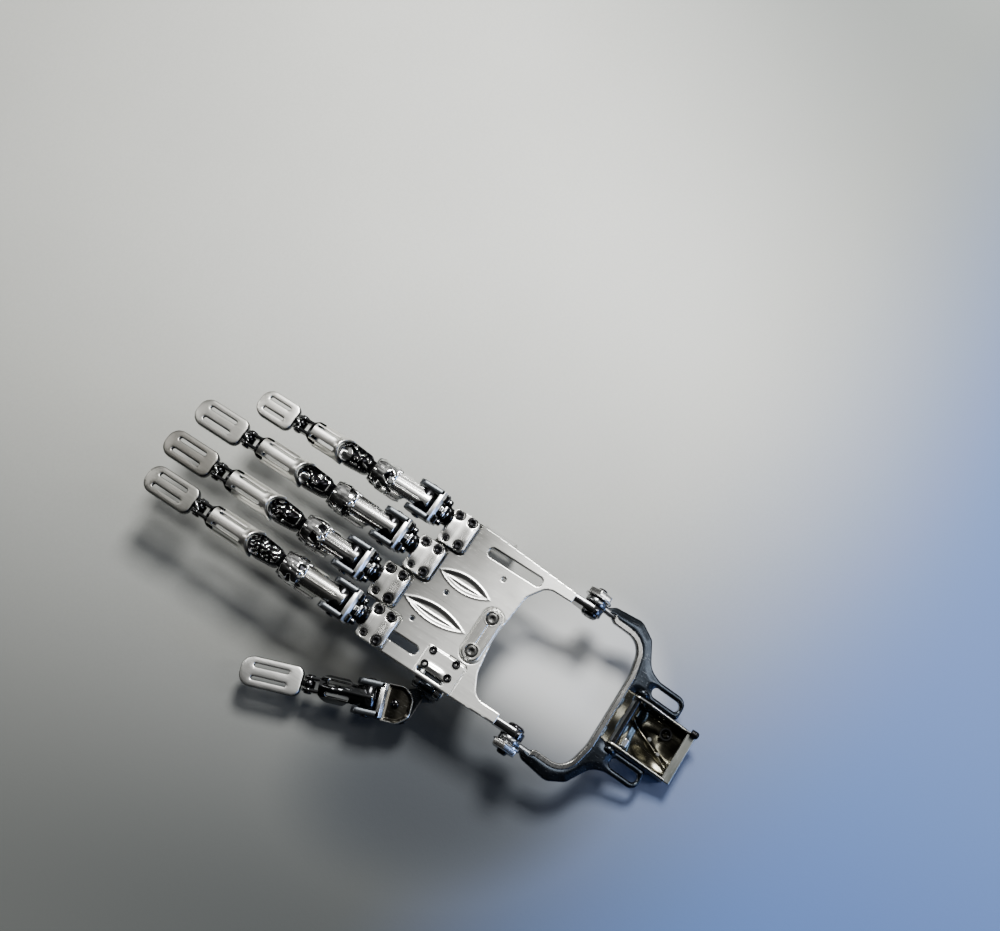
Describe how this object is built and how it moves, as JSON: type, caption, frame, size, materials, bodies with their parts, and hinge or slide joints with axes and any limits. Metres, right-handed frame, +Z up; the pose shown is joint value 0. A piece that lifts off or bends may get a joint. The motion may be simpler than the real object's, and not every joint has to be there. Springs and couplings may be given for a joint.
{
  "type": "prosthetic hand",
  "caption": "Skeletal metal prosthetic hand: back plate with hinged fingers and thumb that end in strap-slotted plates, and a dark hinged wrist yoke with a trough for the forearm.",
  "frame": {"origin": "middle of the rectangle that the hand covers on the floor", "axes": "+Z up through the back of the hand, +Y towards the fingertips, +X towards the little finger"},
  "size_m": [0.1208, 0.2742, 0.0404],
  "materials": {
    "satin_aluminium": "satin brushed aluminium",
    "polished_aluminium": "polished aluminium",
    "bright_aluminium": "polished aluminium with darker hollows",
    "grey_aluminium": "matt warm grey satin",
    "dark_chrome": "dark mirror polish",
    "dark_chrome_steel": "dark polished steel with a warm tint",
    "gunmetal": "dark gunmetal, polished",
    "gunmetal_arm": "dark gunmetal, polished",
    "black_steel": "black oxide",
    "bright_steel": "bright turned steel"
  },
  "bodies": {
    "palm": {"back_plate": "satin_aluminium", "anchor_bar": "satin_aluminium", "anchor_screws": "black_steel", "thumb_mount": "gunmetal_arm", "thumb_mount_screws": "black_steel", "thumb_base_pin": "bright_steel", "wrist_bolt_left": "bright_steel", "wrist_bolt_right": "bright_steel", "wrist_nut_left": "bright_steel", "wrist_nut_right": "bright_steel", "index_mount": "polished_aluminium", "index_mount_screws": "black_steel", "index_swivel_pin": "bright_steel", "middle_mount": "polished_aluminium", "middle_mount_screws": "black_steel", "middle_swivel_pin": "bright_steel", "ring_mount": "polished_aluminium", "ring_mount_screws": "black_steel", "ring_swivel_pin": "bright_steel", "little_mount": "polished_aluminium", "little_mount_screws": "black_steel", "little_swivel_pin": "bright_steel"},
    "index_knuckle_body": {"index_fork": "bright_aluminium", "index_knuckle_pin": "bright_steel"},
    "index_proximal_body": {"index_proximal_link": "bright_aluminium", "index_middle_pin": "bright_steel"},
    "index_middle_body": {"index_middle_link": "dark_chrome", "index_tip_pin": "bright_steel"},
    "index_tip_body": {"index_tip_plate": "grey_aluminium"},
    "middle_knuckle_body": {"middle_fork": "bright_aluminium", "middle_knuckle_pin": "bright_steel"},
    "middle_proximal_body": {"middle_proximal_link": "bright_aluminium", "middle_middle_pin": "bright_steel"},
    "middle_middle_body": {"middle_middle_link": "dark_chrome", "middle_tip_pin": "bright_steel"},
    "middle_tip_body": {"middle_tip_plate": "grey_aluminium"},
    "ring_knuckle_body": {"ring_fork": "bright_aluminium", "ring_knuckle_pin": "bright_steel"},
    "ring_proximal_body": {"ring_proximal_link": "bright_aluminium", "ring_middle_pin": "bright_steel"},
    "ring_middle_body": {"ring_middle_link": "dark_chrome", "ring_tip_pin": "bright_steel"},
    "ring_tip_body": {"ring_tip_plate": "grey_aluminium"},
    "little_knuckle_body": {"little_fork": "bright_aluminium", "little_knuckle_pin": "bright_steel"},
    "little_proximal_body": {"little_proximal_link": "bright_aluminium", "little_middle_pin": "bright_steel"},
    "little_middle_body": {"little_middle_link": "dark_chrome", "little_tip_pin": "bright_steel"},
    "little_tip_body": {"little_tip_plate": "grey_aluminium"},
    "thumb_arm_body": {"thumb_arm": "gunmetal_arm", "thumb_swivel_pin": "bright_steel"},
    "thumb_fork_body": {"thumb_fork": "dark_chrome", "thumb_knuckle_pin": "bright_steel"},
    "thumb_link_body": {"thumb_link": "dark_chrome", "thumb_tip_pin": "bright_steel"},
    "thumb_tip_body": {"thumb_tip_plate": "grey_aluminium"},
    "wrist_yoke_body": {"wrist_yoke": "gunmetal", "clevis_pin": "bright_steel"},
    "wrist_clevis_body": {"wrist_clevis": "dark_chrome_steel"}
  },
  "joints": [
    {"name": "index_swivel", "type": "hinge", "parent": "palm", "child": "index_knuckle_body", "pos_m": [-0.00837, 0.0156, 0.03], "axis": [0, 0, 1], "range_deg": [-2, 12]},
    {"name": "index_knuckle", "type": "hinge", "parent": "index_knuckle_body", "child": "index_proximal_body", "pos_m": [-0.00837, 0.0264, 0.036], "axis": [-1, 0, 0], "range_deg": [-10, 80]},
    {"name": "index_middle_hinge", "type": "hinge", "parent": "index_proximal_body", "child": "index_middle_body", "pos_m": [-0.00837, 0.0539, 0.0352], "axis": [-1, 0, 0], "range_deg": [0, 90]},
    {"name": "index_tip_hinge", "type": "hinge", "parent": "index_middle_body", "child": "index_tip_body", "pos_m": [-0.00837, 0.1039, 0.0334], "axis": [-1, 0, 0], "range_deg": [-5, 50]},
    {"name": "middle_swivel", "type": "hinge", "parent": "palm", "child": "middle_knuckle_body", "pos_m": [0.01013, 0.0218, 0.03], "axis": [0, 0, 1], "range_deg": [-1.5, 2]},
    {"name": "middle_knuckle", "type": "hinge", "parent": "middle_knuckle_body", "child": "middle_proximal_body", "pos_m": [0.01013, 0.0326, 0.036], "axis": [-1, 0, 0], "range_deg": [-10, 80]},
    {"name": "middle_middle_hinge", "type": "hinge", "parent": "middle_proximal_body", "child": "middle_middle_body", "pos_m": [0.01013, 0.0561, 0.0352], "axis": [-1, 0, 0], "range_deg": [0, 90]},
    {"name": "middle_tip_hinge", "type": "hinge", "parent": "middle_middle_body", "child": "middle_tip_body", "pos_m": [0.01013, 0.1071, 0.0334], "axis": [-1, 0, 0], "range_deg": [-5, 50]},
    {"name": "ring_swivel", "type": "hinge", "parent": "palm", "child": "ring_knuckle_body", "pos_m": [0.03013, 0.0154, 0.03], "axis": [0, 0, -1], "range_deg": [-1.5, 2]},
    {"name": "ring_knuckle", "type": "hinge", "parent": "ring_knuckle_body", "child": "ring_proximal_body", "pos_m": [0.03013, 0.0262, 0.036], "axis": [-1, 0, 0], "range_deg": [-10, 80]},
    {"name": "ring_middle_hinge", "type": "hinge", "parent": "ring_proximal_body", "child": "ring_middle_body", "pos_m": [0.03013, 0.0542, 0.0352], "axis": [-1, 0, 0], "range_deg": [0, 90]},
    {"name": "ring_tip_hinge", "type": "hinge", "parent": "ring_middle_body", "child": "ring_tip_body", "pos_m": [0.03013, 0.1047, 0.0334], "axis": [-1, 0, 0], "range_deg": [-5, 50]},
    {"name": "little_swivel", "type": "hinge", "parent": "palm", "child": "little_knuckle_body", "pos_m": [0.04913, 0.0093, 0.03], "axis": [0, 0, -1], "range_deg": [-2, 14]},
    {"name": "little_knuckle", "type": "hinge", "parent": "little_knuckle_body", "child": "little_proximal_body", "pos_m": [0.04913, 0.0201, 0.036], "axis": [-1, 0, 0], "range_deg": [-10, 80]},
    {"name": "little_middle_hinge", "type": "hinge", "parent": "little_proximal_body", "child": "little_middle_body", "pos_m": [0.04913, 0.0451, 0.0352], "axis": [-1, 0, 0], "range_deg": [0, 90]},
    {"name": "little_tip_hinge", "type": "hinge", "parent": "little_middle_body", "child": "little_tip_body", "pos_m": [0.04913, 0.0891, 0.0334], "axis": [-1, 0, 0], "range_deg": [-5, 50]},
    {"name": "thumb_base_hinge", "type": "hinge", "parent": "palm", "child": "thumb_arm_body", "pos_m": [-0.01837, -0.0261, 0.0236], "axis": [0, -1, 0], "range_deg": [-30, 30]},
    {"name": "thumb_swivel", "type": "hinge", "parent": "thumb_arm_body", "child": "thumb_fork_body", "pos_m": [-0.03177, -0.01698, 0.01], "axis": [0, 0, 1], "range_deg": [-15, 25]},
    {"name": "thumb_knuckle", "type": "hinge", "parent": "thumb_fork_body", "child": "thumb_link_body", "pos_m": [-0.03587, -0.0057, 0.016], "axis": [-0.9397, -0.342, 0], "range_deg": [-10, 55]},
    {"name": "thumb_tip_hinge", "type": "hinge", "parent": "thumb_link_body", "child": "thumb_tip_body", "pos_m": [-0.04528, 0.02014, 0.0142], "axis": [-0.9397, -0.342, 0], "range_deg": [-5, 50]},
    {"name": "wrist_hinge", "type": "hinge", "parent": "palm", "child": "wrist_yoke_body", "pos_m": [0.01763, -0.0685, 0.026], "axis": [1, 0, 0], "range_deg": [-45, 20]},
    {"name": "clevis_hinge", "type": "hinge", "parent": "wrist_yoke_body", "child": "wrist_clevis_body", "pos_m": [0.01763, -0.10723, 0.01416], "axis": [1, 0, 0], "range_deg": [-20, 20]}
  ]
}
